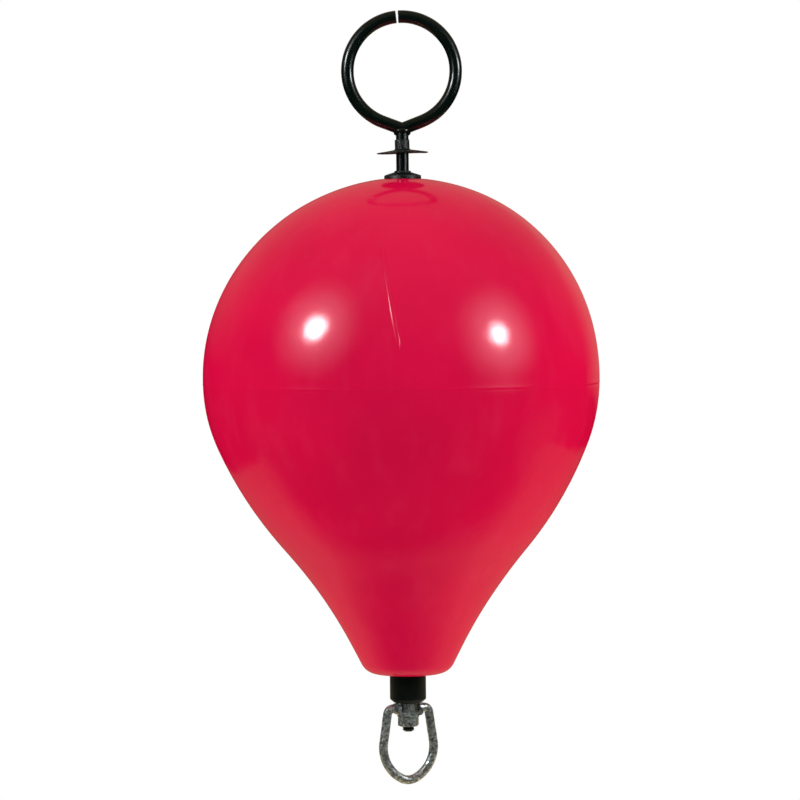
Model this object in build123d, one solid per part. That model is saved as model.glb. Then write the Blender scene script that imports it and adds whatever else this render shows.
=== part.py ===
from build123d import *
from math import asin, atan2, cos, degrees, radians, sin, tan
import os

os.makedirs("parts", exist_ok=True)

# A mooring buoy in millimetres: Z runs up the rod, zero at the float's widest circle.
# The top ring lies in the XZ plane and its front faces -Y.

# Float: a crown, a dome, a tighter dome below it, a flare, a straight neck and a rounded foot, all tangent
FLOAT_RADIUS = 235.0
FLOAT_WALL = 5.0
BELT_HEIGHT = 2.5
CROWN_ANGLE = 20.0
CROWN_LAND = 2.0
CROWN_SEAT_ANGLE = 7.5
LOWER_DOME_SHARE = 0.89
DOME_END_ANGLE = 22.8
NECK_ANGLE = 27.0
NECK_LENGTH = 19.3
FOOT_LAND = 10.0
FOOT_ROUND = 20.4
FLOAT_DEPTH = 350.5
SEAM_DROP = 5.0
SEAM_WIDTH = 5.0
SEAM_HEIGHT = 0.8

# Tube through the float, with a grommet in its top and a tapered bush in its foot
TUBE_RADIUS = 21.5
TUBE_WALL = 3.5
TUBE_DROP = 30.9
TUBE_FIT = 0.1
SPIGOT_LENGTH = 18.0
GROMMET_LIP = 0.5
GROMMET_DRAFT = 1.0
GROMMET_FLANGE_HEIGHT = 3.0
GROMMET_HEIGHT = 10.0
GROMMET_TIP_WALL = 2.0
NOSE_HEIGHT = 4.5
NOSE_TIP_WALL = 8.5

# Coated bar of the rod and its ring
BAR_RADIUS = 7.5
BAR_COAT = 0.5
BAR_RUNNING_GAP = 0.3
RING_STEM = 12.5
RING_RADIUS = 64.0
RING_THROAT_ANGLE = 21.0
RING_GAP = 2.3
RING_GAP_TURN = 4.2
COPE_DROP = 3.0
WELD_RADIUS = 3.4

# Rubber disc held on the rod by its hub, some way above the grommet
DISC_ABOVE_GROMMET = 20.8
DISC_RADIUS = 30.5
DISC_RIM = 0.9
DISC_ROOT = 4.2
DISC_HUB_WALL = 1.2
DISC_HUB_HEIGHT = 16.0
DISC_GRIP = 0.02

# Swivel on the rod's lower end
THREAD_FIT = 0.05
THREAD_TIP = 1.2
THREAD_PAST_NUT = 6.3
STACK_GAP = 0.3
COLLAR_WALL = 2.3
YOKE_THICKNESS = 4.0
YOKE_SIDE_GAP = 2.7
YOKE_DEPTH = 20.0
YOKE_BEND = 2.5
YOKE_RUNNING_GAP = 0.3
EAR_ABOVE_PIN = 5.5
EAR_CLEARANCE = 0.9
WASHER_WALL = 6.0
WASHER_HEIGHT = 2.0
NUT_WALL = 4.0
NUT_HEIGHT = 11.0
NUT_TURN = 12.0
NUT_FACE_SHARE = 0.97
SWIVEL_TURN = 20.0

# Bail of round bar with three arcs in its bow, its ends turned down to pins in the yoke's ears
BAIL_BAR_RADIUS = 5.25
BAIL_PIN_RADIUS = 3.5
BAIL_PIN_GAP = 0.4
BAIL_PIN_PROUD = 0.6
BAIL_PIN_FLOOR = 0.4
BAIL_SIDE_GAP = 1.5
BAIL_END_STRAIGHT = 1.8
BAIL_BEND_RADIUS = 7.0
BOW_HALF_WIDTH = 31.8
BOW_DEPTH = 39.5
BOW_TIP_RADIUS = 19.0
BOW_ROOM = 53.1

# Radii and heights that follow from the sizes above
TUBE_BORE = TUBE_RADIUS - TUBE_WALL
FLOAT_BORE = TUBE_RADIUS + TUBE_FIT
CROWN_SEAT_RADIUS = FLOAT_BORE + FLOAT_WALL + CROWN_LAND
CROWN_TURN = sin(radians(CROWN_ANGLE)) - sin(radians(CROWN_SEAT_ANGLE))
CROWN_RADIUS = (FLOAT_RADIUS * sin(radians(CROWN_ANGLE)) - CROWN_SEAT_RADIUS) / CROWN_TURN
CROWN_RISE = CROWN_RADIUS * (cos(radians(CROWN_SEAT_ANGLE)) - cos(radians(CROWN_ANGLE)))
CROWN_HEIGHT = BELT_HEIGHT + FLOAT_RADIUS * cos(radians(CROWN_ANGLE)) + CROWN_RISE
LOWER_DOME_RADIUS = FLOAT_RADIUS * LOWER_DOME_SHARE
LOWER_DOME_CENTRE = (FLOAT_RADIUS - LOWER_DOME_RADIUS, 0)
THREAD_RADIUS = BAR_RADIUS - BAR_COAT
ROD_BORE = BAR_RADIUS + BAR_RUNNING_GAP
DISC_HEIGHT = CROWN_HEIGHT + GROMMET_HEIGHT + DISC_ABOVE_GROMMET
THROAT_HEIGHT = DISC_HEIGHT + DISC_HUB_HEIGHT + RING_STEM
RING_CENTRE_HEIGHT = THROAT_HEIGHT + RING_RADIUS / cos(radians(RING_THROAT_ANGLE))
ROD_TOP = THROAT_HEIGHT - COPE_DROP
TUBE_FOOT = -FLOAT_DEPTH - TUBE_DROP
NOSE_FOOT = TUBE_FOOT - NOSE_HEIGHT
COAT_END = NOSE_FOOT - STACK_GAP
COLLAR_RADIUS = THREAD_RADIUS + COLLAR_WALL
YOKE_HALF_INSIDE = COLLAR_RADIUS + YOKE_SIDE_GAP
YOKE_HALF_OUTSIDE = YOKE_HALF_INSIDE + YOKE_THICKNESS
PIN_HOLE_RADIUS = BAIL_PIN_RADIUS + BAIL_PIN_GAP
PIN_HEIGHT = NOSE_FOOT - EAR_CLEARANCE - EAR_ABOVE_PIN
PLATE_TOP = PIN_HEIGHT - PIN_HOLE_RADIUS - BAIL_PIN_FLOOR
PLATE_FOOT = PLATE_TOP - YOKE_THICKNESS
COLLAR_FOOT = PLATE_TOP + STACK_GAP
WASHER_TOP = PLATE_FOOT - STACK_GAP
NUT_TOP = WASHER_TOP - WASHER_HEIGHT
NUT_FOOT = NUT_TOP - NUT_HEIGHT
ROD_FOOT = NUT_FOOT - THREAD_PAST_NUT
BAIL_SHOULDER = YOKE_HALF_OUTSIDE + BAIL_SIDE_GAP
BOW_FOOT = ROD_FOOT - BOW_ROOM - BAIL_BAR_RADIUS
BOW_TIP_CENTRE = (0, BOW_FOOT + BOW_TIP_RADIUS)
BOW_TIP_DEPTH = BOW_DEPTH - BOW_TIP_RADIUS
BOW_SPARE = BOW_HALF_WIDTH**2 + BOW_TIP_DEPTH**2 - BOW_TIP_RADIUS**2
BOW_SIDE_RADIUS = BOW_SPARE / (2 * (BOW_HALF_WIDTH - BOW_TIP_RADIUS))
BOW_SIDE_CENTRE = (BOW_HALF_WIDTH - BOW_SIDE_RADIUS, BOW_FOOT + BOW_DEPTH)


def on_circle(centre, radius, angle):
    return (centre[0] + radius * cos(radians(angle)), centre[1] + radius * sin(radians(angle)))


def lathe(edges):
    """Turns a closed outline of (radius, height) edges about the rod's axis."""
    return revolve(Plane.XZ * make_face(Wire(edges)), Axis.Z)


def lathe_points(points):
    return lathe(Polyline(*points, close=True).edges())


def ring_block(outer, inner, top, foot):
    return lathe_points([(inner, foot), (outer, foot), (outer, top), (inner, top)])


def between(start, start_heading, end, end_heading):
    """The middle point and heading of an S of two arcs that leave and reach two points on given headings."""
    leave = Vector(cos(radians(start_heading)), sin(radians(start_heading)))
    reach = Vector(cos(radians(end_heading)), sin(radians(end_heading)))
    apart = Vector(*end) - Vector(*start)
    along = apart.dot(leave + reach)
    spread = 1 - leave.dot(reach)
    arm = apart.dot(apart) / (along + (along**2 + 2 * spread * apart.dot(apart)) ** 0.5)
    middle = (Vector(*start) + Vector(*end) + (leave - reach) * arm) * 0.5
    heading = apart - (leave + reach) * arm
    return (middle.X, middle.Y), degrees(atan2(heading.Y, heading.X))


def float_body(inset, bore, seam):
    """The float's body of revolution, drawn a given depth inside its skin."""
    dome = FLOAT_RADIUS - inset
    lower = LOWER_DOME_RADIUS - inset
    belt = (0, BELT_HEIGHT)
    skin_crown_join = on_circle(belt, FLOAT_RADIUS, 90 - CROWN_ANGLE)
    crown_centre = on_circle(skin_crown_join, CROWN_RADIUS, -90 - CROWN_ANGLE)
    crown_edge = on_circle(crown_centre, CROWN_RADIUS - inset, 90 - CROWN_SEAT_ANGLE)
    foot = -FLOAT_DEPTH + inset
    foot_centre = (FLOAT_BORE + FLOAT_WALL + FOOT_LAND, -FLOAT_DEPTH + FOOT_ROUND)
    skin_dome_end = on_circle(LOWER_DOME_CENTRE, LOWER_DOME_RADIUS, -DOME_END_ANGLE)
    skin_neck_foot = on_circle(foot_centre, FOOT_ROUND, -NECK_ANGLE)
    skin_neck = on_circle(skin_neck_foot, NECK_LENGTH, 90 - NECK_ANGLE)
    dome_heading = -90 - DOME_END_ANGLE
    neck_heading = -90 - NECK_ANGLE
    skin_waist, waist_heading = between(skin_dome_end, dome_heading, skin_neck, neck_heading)
    dome_end = on_circle(skin_dome_end, inset, dome_heading - 90)
    waist = on_circle(skin_waist, inset, waist_heading - 90)
    neck = on_circle(skin_neck, inset, neck_heading - 90)
    neck_foot = on_circle(skin_neck_foot, inset, neck_heading - 90)
    edges = [
        Line((bore, foot), (foot_centre[0], foot)),
        CenterArc(foot_centre, FOOT_ROUND - inset, -90, 90 - NECK_ANGLE),
        Line(neck_foot, neck),
        TangentArc(neck, waist, tangent=on_circle((0, 0), 1, neck_heading + 180)),
        TangentArc(dome_end, waist, tangent=on_circle((0, 0), 1, dome_heading)),
    ]
    if seam:
        middle = -degrees(asin(SEAM_DROP / lower))
        half = degrees(SEAM_WIDTH / 2 / lower)
        low = on_circle(LOWER_DOME_CENTRE, lower, middle - half)
        high = on_circle(LOWER_DOME_CENTRE, lower, middle + half)
        crest = on_circle(LOWER_DOME_CENTRE, lower + SEAM_HEIGHT, middle)
        edges += [
            CenterArc(LOWER_DOME_CENTRE, lower, -DOME_END_ANGLE, DOME_END_ANGLE + middle - half),
            ThreePointArc(low, crest, high),
            CenterArc(LOWER_DOME_CENTRE, lower, middle + half, -middle - half),
        ]
    else:
        edges.append(CenterArc(LOWER_DOME_CENTRE, lower, -DOME_END_ANGLE, DOME_END_ANGLE))
    edges += [
        Line((dome, 0), (dome, BELT_HEIGHT)),
        CenterArc(belt, dome, 0, 90 - CROWN_ANGLE),
        CenterArc(crown_centre, CROWN_RADIUS - inset, 90 - CROWN_ANGLE, CROWN_ANGLE - CROWN_SEAT_ANGLE),
        Line(crown_edge, (bore, crown_edge[1])),
        Line((bore, crown_edge[1]), (bore, foot)),
    ]
    return lathe(edges)


def top_grommet():
    spigot = TUBE_BORE - TUBE_FIT
    flange = TUBE_RADIUS + GROMMET_LIP
    flange_top = CROWN_HEIGHT + GROMMET_FLANGE_HEIGHT
    tip = CROWN_HEIGHT + GROMMET_HEIGHT
    return lathe_points([
        (ROD_BORE, CROWN_HEIGHT - SPIGOT_LENGTH),
        (spigot, CROWN_HEIGHT - SPIGOT_LENGTH),
        (spigot, CROWN_HEIGHT),
        (flange, CROWN_HEIGHT),
        (flange - GROMMET_DRAFT, flange_top),
        (ROD_BORE + GROMMET_TIP_WALL, tip),
        (ROD_BORE, tip),
    ])


def end_bush():
    spigot = TUBE_BORE - TUBE_FIT
    return lathe_points([
        (ROD_BORE, NOSE_FOOT),
        (ROD_BORE + NOSE_TIP_WALL, NOSE_FOOT),
        (TUBE_RADIUS, TUBE_FOOT),
        (spigot, TUBE_FOOT),
        (spigot, TUBE_FOOT + SPIGOT_LENGTH),
        (ROD_BORE, TUBE_FOOT + SPIGOT_LENGTH),
    ])


def stop_disc():
    bore = BAR_RADIUS + DISC_GRIP
    hub = bore + DISC_HUB_WALL
    return lathe_points([
        (bore, DISC_HEIGHT),
        (DISC_RADIUS, DISC_HEIGHT),
        (DISC_RADIUS, DISC_HEIGHT + DISC_RIM),
        (hub, DISC_HEIGHT + DISC_ROOT),
        (hub, DISC_HEIGHT + DISC_HUB_HEIGHT),
        (bore, DISC_HEIGHT + DISC_HUB_HEIGHT),
    ])


def ring_arm(side):
    """Half the ring: from the gap at the top round to the throat, cut on the rod's middle plane."""
    centre = (0, RING_CENTRE_HEIGHT)
    half_gap = degrees(RING_GAP / 2 / RING_RADIUS)
    start = 90 + RING_GAP_TURN - side * half_gap
    leave = -90 + side * RING_THROAT_ANGLE
    if side < 0:
        leave += 360
    past = BAR_RADIUS * tan(radians(RING_THROAT_ANGLE)) + 1
    touch = on_circle(centre, RING_RADIUS, leave)
    heading = leave - side * 90
    run = touch[0] / -cos(radians(heading)) + past
    bend = CenterArc(centre, RING_RADIUS, start, leave - start)
    throat = Line(touch, on_circle(touch, run, heading))
    path = Plane.XZ * Wire([bend, throat])
    arm = sweep((path ^ 0) * Circle(BAR_RADIUS), path)
    reach = 4 * RING_RADIUS
    foot = RING_CENTRE_HEIGHT - RING_RADIUS
    other_side = Pos(-side * reach / 2, 0, foot - reach / 2 + RING_RADIUS / 2) * Box(reach, reach, reach)
    return arm - other_side


def rod(ring):
    bar = lathe_points([
        (0, ROD_FOOT),
        (THREAD_RADIUS - THREAD_TIP, ROD_FOOT),
        (THREAD_RADIUS, ROD_FOOT + THREAD_TIP),
        (THREAD_RADIUS, COAT_END),
        (BAR_RADIUS, COAT_END),
        (BAR_RADIUS, ROD_TOP),
        (0, ROD_TOP),
    ])
    return bar - ring


def ring_weld(ring, bar):
    middle = THROAT_HEIGHT - BAR_RADIUS / cos(radians(RING_THROAT_ANGLE))
    bead = revolve(Plane.XZ * (Pos(BAR_RADIUS, middle) * Circle(WELD_RADIUS)), Axis.Z)
    return bead - ring - bar


def yoke():
    """A strap bent to a U on its back plate, with rounded ears up each side for the bail's pins."""
    ear_top = PIN_HEIGHT + EAR_ABOVE_PIN
    height = ear_top - PLATE_FOOT
    outside = Pos(0, 0, PLATE_FOOT + height / 2) * Box(2 * YOKE_HALF_OUTSIDE, YOKE_DEPTH, height)
    outside = fillet(outside.edges().filter_by(Axis.Y).group_by(Axis.Z)[0], YOKE_BEND + YOKE_THICKNESS / 2)
    inside = Pos(0, 0, PLATE_TOP + height / 2) * Box(2 * YOKE_HALF_INSIDE, 2 * YOKE_DEPTH, height)
    inside = fillet(inside.edges().filter_by(Axis.Y).group_by(Axis.Z)[0], YOKE_BEND)
    strap = outside - inside
    ear_edges = strap.edges().filter_by(Axis.X).group_by(Axis.Z)[-1]
    strap = fillet(ear_edges, EAR_ABOVE_PIN)
    pin_hole = Pos(0, 0, PIN_HEIGHT) * Rot(0, 90, 0) * Cylinder(PIN_HOLE_RADIUS, 4 * YOKE_HALF_OUTSIDE)
    rod_hole = Pos(0, 0, PLATE_TOP) * Cylinder(THREAD_RADIUS + YOKE_RUNNING_GAP, 4 * YOKE_THICKNESS)
    return strap - pin_hole - rod_hole


def nut():
    """A hexagon with its corners turned off at both ends."""
    middle = NUT_TOP - NUT_HEIGHT / 2
    flat = THREAD_RADIUS + NUT_WALL
    corner = flat / cos(radians(30))
    hexagon = extrude(RegularPolygon(corner, 6), NUT_HEIGHT / 2, both=True)
    hexagon = Pos(0, 0, middle) * Rot(0, 0, NUT_TURN) * hexagon
    face = flat * NUT_FACE_SHARE
    drop = (corner - face) * tan(radians(30))
    turned = lathe_points([
        (THREAD_RADIUS + THREAD_FIT, NUT_FOOT),
        (face, NUT_FOOT),
        (corner, NUT_FOOT + drop),
        (corner, NUT_TOP - drop),
        (face, NUT_TOP),
        (THREAD_RADIUS + THREAD_FIT, NUT_TOP),
    ])
    return hexagon & turned


def bail():
    """A loop of round bar: a bow that narrows to its tip, limbs that close in, and ends bent in to pins."""
    bend_centre = (BAIL_SHOULDER + BAIL_END_STRAIGHT, PIN_HEIGHT - BAIL_BEND_RADIUS)
    apart = (BOW_SIDE_CENTRE[0] - bend_centre[0], BOW_SIDE_CENTRE[1] - bend_centre[1])
    distance = (apart[0] ** 2 + apart[1] ** 2) ** 0.5
    lean = degrees(asin((BOW_SIDE_RADIUS - BAIL_BEND_RADIUS) / distance))
    lean -= degrees(asin(-apart[0] / distance))
    tip = degrees(atan2(BOW_TIP_CENTRE[1] - BOW_SIDE_CENTRE[1], BOW_TIP_CENTRE[0] - BOW_SIDE_CENTRE[0]))
    bend_end = on_circle(bend_centre, BAIL_BEND_RADIUS, lean)
    side_end = on_circle(BOW_SIDE_CENTRE, BOW_SIDE_RADIUS, lean)
    other_side = (-BOW_SIDE_CENTRE[0], BOW_SIDE_CENTRE[1])
    other_bend = (-bend_centre[0], bend_centre[1])
    path = Plane.XZ * Wire([
        Line((BAIL_SHOULDER, PIN_HEIGHT), (bend_centre[0], PIN_HEIGHT)),
        CenterArc(bend_centre, BAIL_BEND_RADIUS, 90, lean - 90),
        Line(bend_end, side_end),
        CenterArc(BOW_SIDE_CENTRE, BOW_SIDE_RADIUS, lean, tip - lean),
        CenterArc(BOW_TIP_CENTRE, BOW_TIP_RADIUS, tip, -180 - 2 * tip),
        CenterArc(other_side, BOW_SIDE_RADIUS, -180 - tip, tip - lean),
        Line((-side_end[0], side_end[1]), (-bend_end[0], bend_end[1])),
        CenterArc(other_bend, BAIL_BEND_RADIUS, 180 - lean, lean - 90),
        Line((-bend_centre[0], PIN_HEIGHT), (-BAIL_SHOULDER, PIN_HEIGHT)),
    ])
    loop = sweep((path ^ 0) * Circle(BAIL_BAR_RADIUS), path)
    pin_end = YOKE_HALF_INSIDE - BAIL_PIN_PROUD
    length = BAIL_SHOULDER - pin_end
    for side in (-1, 1):
        middle = side * (pin_end + BAIL_SHOULDER) / 2
        loop += Pos(middle, 0, PIN_HEIGHT) * Rot(0, 90, 0) * Cylinder(BAIL_PIN_RADIUS, length)
    return loop


top_ring = ring_arm(1) + ring_arm(-1)
rod_bar = rod(top_ring)
swivel = Rot(0, 0, SWIVEL_TURN)
cavity = float_body(FLOAT_WALL, FLOAT_BORE + FLOAT_WALL, False)

pieces = {
    "float_shell": float_body(0, FLOAT_BORE, True) - cavity,
    "centre_tube": ring_block(TUBE_RADIUS, TUBE_BORE, CROWN_HEIGHT, TUBE_FOOT),
    "top_grommet": top_grommet(),
    "end_bush": end_bush(),
    "rod": rod_bar,
    "top_ring": top_ring,
    "ring_weld": ring_weld(top_ring, rod_bar),
    "stop_disc": stop_disc(),
    "thrust_collar": ring_block(COLLAR_RADIUS, THREAD_RADIUS + THREAD_FIT, COAT_END, COLLAR_FOOT),
    "yoke": swivel * yoke(),
    "washer": ring_block(THREAD_RADIUS + WASHER_WALL, THREAD_RADIUS + THREAD_FIT, WASHER_TOP, NUT_TOP),
    "nut": nut(),
    "bail": swivel * bail(),
}

for name, piece in pieces.items():
    export_step(piece, f"parts/{name}.step")
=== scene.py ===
from math import asin, atan2, cos, degrees, pi, radians, sin, sqrt, tan

import bpy
from mathutils import Matrix, Vector


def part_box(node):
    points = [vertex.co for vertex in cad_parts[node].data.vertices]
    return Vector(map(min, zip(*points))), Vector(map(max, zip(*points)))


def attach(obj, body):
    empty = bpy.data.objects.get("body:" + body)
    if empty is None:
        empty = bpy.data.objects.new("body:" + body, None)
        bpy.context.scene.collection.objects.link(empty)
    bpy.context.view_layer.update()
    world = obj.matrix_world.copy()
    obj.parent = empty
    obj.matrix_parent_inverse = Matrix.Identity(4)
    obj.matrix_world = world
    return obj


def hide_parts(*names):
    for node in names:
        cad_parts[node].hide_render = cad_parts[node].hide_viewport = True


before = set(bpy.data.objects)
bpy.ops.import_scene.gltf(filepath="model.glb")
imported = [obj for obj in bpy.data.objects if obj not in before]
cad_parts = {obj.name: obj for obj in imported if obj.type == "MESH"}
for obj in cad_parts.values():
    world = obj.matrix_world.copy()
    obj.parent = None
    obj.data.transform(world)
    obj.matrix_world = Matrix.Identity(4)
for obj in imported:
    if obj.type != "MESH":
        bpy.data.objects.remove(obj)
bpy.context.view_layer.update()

# Sizes in metres; Z runs up the rod from the float's widest circle, and the front faces -Y
MM = 0.001
MERGE_WITHIN = 0.002 * MM

# Float
FLOAT_RADIUS = 235 * MM
BELT_HEIGHT = 2.5 * MM
CROWN_ANGLE = 20
CROWN_SEAT_ANGLE = 7.5
CROWN_SEAT_RADIUS = 28.6 * MM
LOWER_DOME_RADIUS = FLOAT_RADIUS * 0.89
LOWER_DOME_CENTRE = (FLOAT_RADIUS - LOWER_DOME_RADIUS, 0)
DOME_END_ANGLE = 22.8
NECK_ANGLE = 27
NECK_LENGTH = 19.3 * MM
FOOT_CENTRE = (36.6 * MM, -330.1 * MM)
FOOT_ROUND = 20.4 * MM
FLOAT_DEPTH = 350.5 * MM
FLOAT_BORE = 21.6 * MM
CROWN_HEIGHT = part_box("float_shell")[1].z
BELLY_LEAN = -4.2 * MM
BELLY_BAND = 12 * MM
BELLY_REACH = FLOAT_RADIUS * 1.2

# Mould seam under the widest circle, in mm: how far down, how far proud of the skin
SEAM_SHAPE = [
    (2.6, 0), (3.5, 0.07), (4.4, 0.16), (5.3, 0.16), (6.0, 0.08),
    (6.6, -0.04), (7.2, -0.1), (8.0, -0.04), (8.8, 0),
]
SEAM_TOP = SEAM_SHAPE[0][0] * MM
SEAM_FOOT = SEAM_SHAPE[-1][0] * MM
SEAM_MARGIN = 0.1 * MM

# Crease in the dome's front: its upper and lower end on the sphere, as (across, up)
CREASE_TOP = (-24 * MM, 158 * MM)
CREASE_FOOT = (-2 * MM, 36 * MM)
CREASE_WIDTH = 5 * MM
CREASE_HEIGHT = 1.6 * MM
CREASE_TAPER = 14 * MM

# Rod and ring
BAR_RADIUS = 7.5 * MM
THREAD_RADIUS = 7 * MM
THREAD_PITCH = 2 * MM
THREAD_DEPTH = 1.1 * MM
THREAD_LENGTH = 22 * MM
ROD_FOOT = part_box("rod")[0].z
COAT_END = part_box("end_bush")[0].z - 0.3 * MM
RING_RADIUS = 64 * MM
RING_THROAT_ANGLE = 21
RING_GAP = 2.3 * MM
RING_GAP_TURN = 4.2
RING_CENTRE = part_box("top_ring")[1].z - RING_RADIUS - BAR_RADIUS
THROAT_HEIGHT = RING_CENTRE - RING_RADIUS / cos(radians(RING_THROAT_ANGLE))
END_ROUND = 0.8 * MM
WELD_RADIUS = 3 * MM

# Rubber disc on the rod and grommet on the crown
DISC_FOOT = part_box("stop_disc")[0].z
DISC_RADIUS = 30.5 * MM
DISC_HUB_RADIUS = 8.7 * MM
DISC_HUB_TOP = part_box("stop_disc")[1].z
DISC_TILT = 1.7
GROMMET_FLANGE_RADIUS = 22 * MM
GROMMET_FLANGE_EDGE = 3.8 * MM
GROMMET_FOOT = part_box("top_grommet")[0].z
GROMMET_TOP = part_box("top_grommet")[1].z
SPIGOT_RADIUS = 17.9 * MM
PLEATS = 18

# Tube through the float and the bush in its foot
TUBE_RADIUS = 21.5 * MM
TUBE_BORE = 18 * MM
TUBE_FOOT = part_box("centre_tube")[0].z
ROD_BORE = 7.8 * MM
NOSE_RADIUS = 16.3 * MM
NOSE_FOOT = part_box("end_bush")[0].z
BUSH_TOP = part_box("end_bush")[1].z

# Swivel
SWIVEL_TURN = 20
COLLAR_RADIUS = 9.3 * MM
WASHER_RADIUS = 13 * MM
THREAD_HOLE = THREAD_RADIUS + 0.05 * MM
YOKE_HALF_INSIDE = 12 * MM
YOKE_HALF_OUTSIDE = 16 * MM
YOKE_DEPTH = 20 * MM
YOKE_BEND = 2.5 * MM
YOKE_OUTER_BEND = 4.5 * MM
YOKE_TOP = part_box("yoke")[1].z
YOKE_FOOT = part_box("yoke")[0].z
PLATE_TOP = YOKE_FOOT + YOKE_HALF_OUTSIDE - YOKE_HALF_INSIDE
EAR_ROUND = 5.5 * MM
YOKE_ROD_HOLE = 7.3 * MM
YOKE_PIN_HOLE = 3.9 * MM
NUT_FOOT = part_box("nut")[0].z
NUT_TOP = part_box("nut")[1].z
NUT_FLAT = 11 * MM
NUT_TURN = 12
BAIL_BAR_RADIUS = 5.25 * MM
BAIL_PIN_RADIUS = 3.5 * MM
BAIL_PIN_END = 11.4 * MM
BAIL_SHOULDER = 17.5 * MM
BAIL_END_STRAIGHT = 1.8 * MM
BAIL_BEND_RADIUS = 7 * MM
BOW_HALF_WIDTH = 31.8 * MM
BOW_DEPTH = 39.5 * MM
BOW_TIP_RADIUS = 19 * MM
BOW_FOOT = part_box("bail")[0].z + BAIL_BAR_RADIUS
PIN_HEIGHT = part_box("bail")[1].z - BAIL_BAR_RADIUS


def on_circle(centre, radius, angle):
    return (centre[0] + radius * cos(radians(angle)), centre[1] + radius * sin(radians(angle)))


def arc(centre, radius, start, end, steps):
    """Points on an arc of an outline, both ends included."""
    return [on_circle(centre, radius, start + (end - start) * i / steps) for i in range(steps + 1)]


def line(start, end, steps):
    return [tuple(a + (b - a) * i / steps for a, b in zip(start, end)) for i in range(steps + 1)]


# Modelling by hand: an outline is drawn from one point, a bar from one circle

def start_piece(name):
    """A single point at the origin, open in edit mode."""
    bpy.ops.object.select_all(action="DESELECT")
    bpy.ops.mesh.primitive_plane_add(size=1 * MM, location=(0, 0, 0))
    piece = bpy.context.object
    piece.name = name
    piece.data.name = name
    bpy.ops.object.mode_set(mode="EDIT")
    bpy.ops.mesh.select_all(action="SELECT")
    bpy.ops.mesh.merge(type="CENTER")
    return piece


def draw_outline(points):
    """Extrudes the selected point along an outline of (radius, height) points."""
    before = (0, 0)
    for i, point in enumerate(points):
        step = (point[0] - before[0], 0, point[1] - before[1])
        if i == 0:
            bpy.ops.transform.translate(value=step)
        else:
            bpy.ops.mesh.extrude_region_move(TRANSFORM_OT_translate={"value": step})
        before = point


def close_skin():
    """Merges what meets, and turns every face outwards."""
    bpy.ops.mesh.select_all(action="SELECT")
    bpy.ops.mesh.remove_doubles(threshold=MERGE_WITHIN)
    bpy.ops.mesh.normals_make_consistent(inside=False)


def turn_piece(name, outline, steps):
    """A closed outline drawn and spun about the rod's axis."""
    piece = start_piece(name)
    draw_outline(outline + outline[:1])
    bpy.ops.mesh.select_all(action="SELECT")
    bpy.ops.mesh.remove_doubles(threshold=MERGE_WITHIN)
    bpy.ops.mesh.select_all(action="SELECT")
    bpy.ops.mesh.spin(steps=steps, angle=2 * pi, center=(0, 0, 0), axis=(0, 0, 1))
    close_skin()
    bpy.ops.object.mode_set(mode="OBJECT")
    return piece


def bar_circle(radius, place, heading, sides):
    """A circle across a bar that lies in the XZ plane and heads that way."""
    bpy.ops.mesh.primitive_circle_add(
        vertices=sides,
        radius=radius,
        location=(place[0], 0, place[1]),
        rotation=(0, radians(90 - heading), 0),
    )


def bar_run(place, heading, length, steps, swell=1.0):
    """Extrudes the bar's end straight on, in steps, and swells or thins it by the end."""
    for i in range(steps):
        step = length / steps
        place = on_circle(place, step, heading)
        move = (step * cos(radians(heading)), 0, step * sin(radians(heading)))
        bpy.ops.mesh.extrude_region_move(TRANSFORM_OT_translate={"value": move})
        size = swell ** (1 / steps)
        bpy.ops.transform.resize(value=(size, size, size), center_override=(place[0], 0, place[1]))
    return place


def bar_bend(place, heading, radius, angle, steps):
    """Spins the bar's end round a bend; a positive angle turns left, from +X towards +Z."""
    side = 90 if angle > 0 else -90
    centre = on_circle(place, radius, heading + side)
    axis = (0, 1 if angle > 0 else -1, 0)
    bpy.ops.mesh.spin(steps=steps, angle=radians(abs(angle)), center=(centre[0], 0, centre[1]), axis=axis)
    return on_circle(centre, radius, heading - side + angle), heading + angle


def round_end(place, heading, radius, rounding):
    """Closes a bar with a rounded end that stays within its length."""
    for last, share in ((0, 30), (30, 60), (60, 85)):
        ahead = rounding * (sin(radians(share)) - sin(radians(last)))
        was = radius - rounding * (1 - cos(radians(last)))
        now = radius - rounding * (1 - cos(radians(share)))
        place = bar_run(place, heading, ahead, 1, now / was)
    bpy.ops.mesh.edge_face_add()


def select_points(piece, chosen):
    """In edit mode, selects only the seen points that pass a test."""
    bpy.ops.mesh.select_mode(type="VERT")
    bpy.ops.mesh.select_all(action="DESELECT")
    bpy.ops.object.mode_set(mode="OBJECT")
    for vertex in piece.data.vertices:
        vertex.select = not vertex.hide and chosen(vertex.co)
    bpy.ops.object.mode_set(mode="EDIT")
    bpy.ops.mesh.select_mode(type="VERT")


def push_points(piece, chosen, push, reach):
    """In edit mode, pushes the chosen points, and less and less of what lies within reach of them."""
    select_points(piece, chosen)
    bpy.ops.transform.translate(
        value=push, use_proportional_edit=True, proportional_edit_falloff="SMOOTH", proportional_size=reach
    )


def pick(piece):
    """Makes a piece the only selected one and the active one."""
    bpy.ops.object.select_all(action="DESELECT")
    piece.select_set(True)
    bpy.context.view_layer.objects.active = piece


def join_pieces(piece, other):
    """Makes another piece part of one."""
    pick(piece)
    other.select_set(True)
    bpy.ops.object.join()


def apply_modifier(piece, kind, **settings):
    """Adds one modifier to a piece and applies it."""
    pick(piece)
    bpy.ops.object.modifier_add(type=kind)
    modifier = piece.modifiers[-1]
    for name, value in settings.items():
        setattr(modifier, name, value)
    bpy.ops.object.modifier_apply(modifier=modifier.name)


def break_edges(piece, width, sharper_than):
    """Rounds the edges that are sharper than an angle."""
    apply_modifier(
        piece, "BEVEL", width=width, segments=3, limit_method="ANGLE", angle_limit=radians(sharper_than)
    )


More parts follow.
